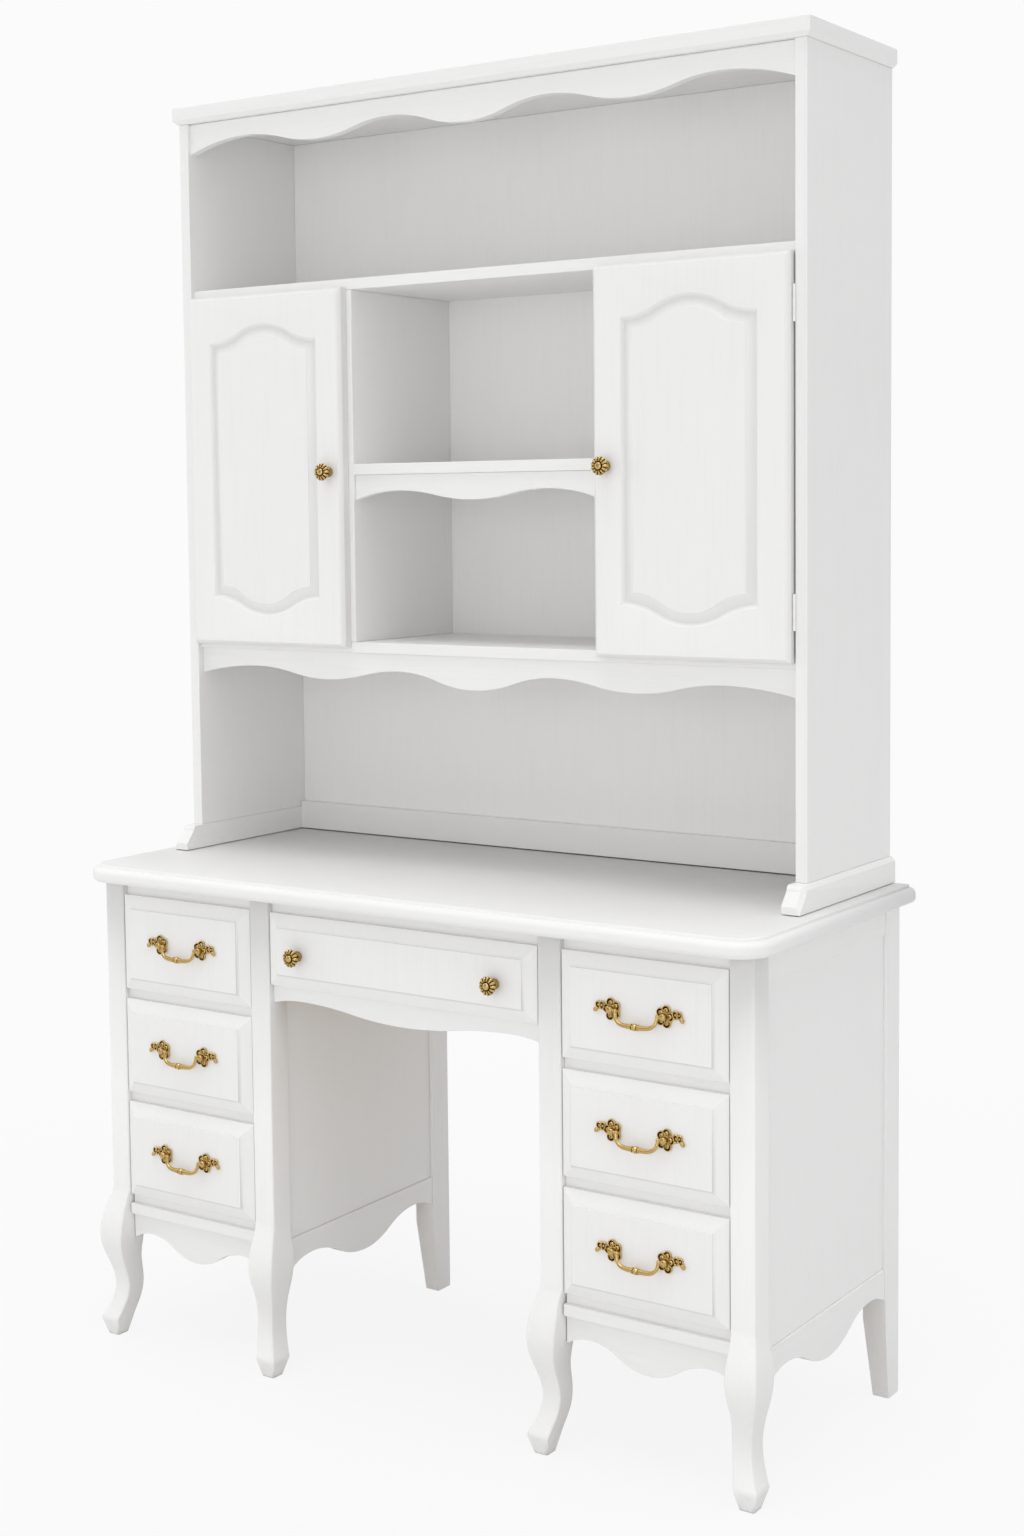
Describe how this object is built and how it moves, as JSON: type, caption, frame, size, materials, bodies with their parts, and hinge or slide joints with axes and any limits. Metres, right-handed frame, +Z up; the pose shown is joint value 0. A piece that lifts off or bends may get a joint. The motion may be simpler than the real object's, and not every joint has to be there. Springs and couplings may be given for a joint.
{
  "type": "desk with hutch",
  "caption": "Painted pedestal desk on cabriole legs, with drawers beside and above a kneehole and a tall hutch of open shelves and arched-panel cupboards.",
  "frame": {"origin": "on the floor, under the middle of the desk top", "axes": "+X to the sitter's right, -Y towards the sitter, +Z up"},
  "size_m": [1.2, 0.496, 1.962],
  "materials": {
    "white_paint": "satin white paint",
    "bare_wood": "clear lacquer",
    "antique_brass": "antique, waxed",
    "painted_steel": "satin white paint"
  },
  "bodies": {
    "case": {"desk_top": "white_paint", "left_outer_leg": "white_paint", "left_inner_leg": "white_paint", "right_inner_leg": "white_paint", "right_outer_leg": "white_paint", "rear_legs": "white_paint", "side_panels": "white_paint", "side_rails": "white_paint", "side_aprons": "white_paint", "front_aprons": "white_paint", "base_strips": "white_paint", "drawer_rails": "white_paint", "kneehole_apron": "white_paint", "desk_backs": "white_paint", "drawer_runners": "bare_wood", "hutch_sides": "white_paint", "hutch_crown": "white_paint", "hutch_back": "white_paint", "hutch_plinth": "white_paint", "upper_shelf": "white_paint", "middle_shelf": "white_paint", "lower_shelf": "white_paint", "cupboard_dividers": "white_paint", "top_valance": "white_paint", "middle_valance": "white_paint", "lower_valance": "white_paint", "case_hinges": "painted_steel"},
    "left_top_drawer": {"left_top_drawer_front": "white_paint", "left_top_drawer_box": "bare_wood", "left_top_pull_plates": "antique_brass"},
    "left_top_handle": {"left_top_bail": "antique_brass"},
    "left_middle_drawer": {"left_middle_drawer_front": "white_paint", "left_middle_drawer_box": "bare_wood", "left_middle_pull_plates": "antique_brass"},
    "left_middle_handle": {"left_middle_bail": "antique_brass"},
    "left_bottom_drawer": {"left_bottom_drawer_front": "white_paint", "left_bottom_drawer_box": "bare_wood", "left_bottom_pull_plates": "antique_brass"},
    "left_bottom_handle": {"left_bottom_bail": "antique_brass"},
    "right_top_drawer": {"right_top_drawer_front": "white_paint", "right_top_drawer_box": "bare_wood", "right_top_pull_plates": "antique_brass"},
    "right_top_handle": {"right_top_bail": "antique_brass"},
    "right_middle_drawer": {"right_middle_drawer_front": "white_paint", "right_middle_drawer_box": "bare_wood", "right_middle_pull_plates": "antique_brass"},
    "right_middle_handle": {"right_middle_bail": "antique_brass"},
    "right_bottom_drawer": {"right_bottom_drawer_front": "white_paint", "right_bottom_drawer_box": "bare_wood", "right_bottom_pull_plates": "antique_brass"},
    "right_bottom_handle": {"right_bottom_bail": "antique_brass"},
    "centre_drawer": {"centre_drawer_front": "white_paint", "centre_drawer_box": "bare_wood", "centre_drawer_knobs": "antique_brass"},
    "left_cupboard_door": {"left_door": "white_paint", "left_door_knob": "antique_brass", "left_door_hinges": "painted_steel"},
    "right_cupboard_door": {"right_door": "white_paint", "right_door_knob": "antique_brass", "right_door_hinges": "painted_steel"}
  },
  "joints": [
    {"name": "left_top_drawer_slide", "type": "slide", "parent": "case", "child": "left_top_drawer", "axis": [0, -1, 0], "range_m": [0, 0.28]},
    {"name": "left_top_bail_pivot", "type": "hinge", "parent": "left_top_drawer", "child": "left_top_handle", "pos_m": [-0.41, -0.2295, 0.644], "axis": [-1, 0, 0], "range_deg": [0, 85]},
    {"name": "left_middle_drawer_slide", "type": "slide", "parent": "case", "child": "left_middle_drawer", "axis": [0, -1, 0], "range_m": [0, 0.28]},
    {"name": "left_middle_bail_pivot", "type": "hinge", "parent": "left_middle_drawer", "child": "left_middle_handle", "pos_m": [-0.41, -0.2295, 0.478], "axis": [-1, 0, 0], "range_deg": [0, 85]},
    {"name": "left_bottom_drawer_slide", "type": "slide", "parent": "case", "child": "left_bottom_drawer", "axis": [0, -1, 0], "range_m": [0, 0.28]},
    {"name": "left_bottom_bail_pivot", "type": "hinge", "parent": "left_bottom_drawer", "child": "left_bottom_handle", "pos_m": [-0.41, -0.2295, 0.312], "axis": [-1, 0, 0], "range_deg": [0, 85]},
    {"name": "right_top_drawer_slide", "type": "slide", "parent": "case", "child": "right_top_drawer", "axis": [0, -1, 0], "range_m": [0, 0.28]},
    {"name": "right_top_bail_pivot", "type": "hinge", "parent": "right_top_drawer", "child": "right_top_handle", "pos_m": [0.41, -0.2295, 0.644], "axis": [-1, 0, 0], "range_deg": [0, 85]},
    {"name": "right_middle_drawer_slide", "type": "slide", "parent": "case", "child": "right_middle_drawer", "axis": [0, -1, 0], "range_m": [0, 0.28]},
    {"name": "right_middle_bail_pivot", "type": "hinge", "parent": "right_middle_drawer", "child": "right_middle_handle", "pos_m": [0.41, -0.2295, 0.478], "axis": [-1, 0, 0], "range_deg": [0, 85]},
    {"name": "right_bottom_drawer_slide", "type": "slide", "parent": "case", "child": "right_bottom_drawer", "axis": [0, -1, 0], "range_m": [0, 0.28]},
    {"name": "right_bottom_bail_pivot", "type": "hinge", "parent": "right_bottom_drawer", "child": "right_bottom_handle", "pos_m": [0.41, -0.2295, 0.312], "axis": [-1, 0, 0], "range_deg": [0, 85]},
    {"name": "centre_drawer_slide", "type": "slide", "parent": "case", "child": "centre_drawer", "axis": [0, -1, 0], "range_m": [0, 0.28]},
    {"name": "left_door_swing", "type": "hinge", "parent": "case", "child": "left_cupboard_door", "pos_m": [-0.5418, -0.0264, 1.379], "axis": [0, 0, -1], "range_deg": [0, 95]},
    {"name": "right_door_swing", "type": "hinge", "parent": "case", "child": "right_cupboard_door", "pos_m": [0.5418, -0.0264, 1.379], "axis": [0, 0, 1], "range_deg": [0, 95]}
  ]
}
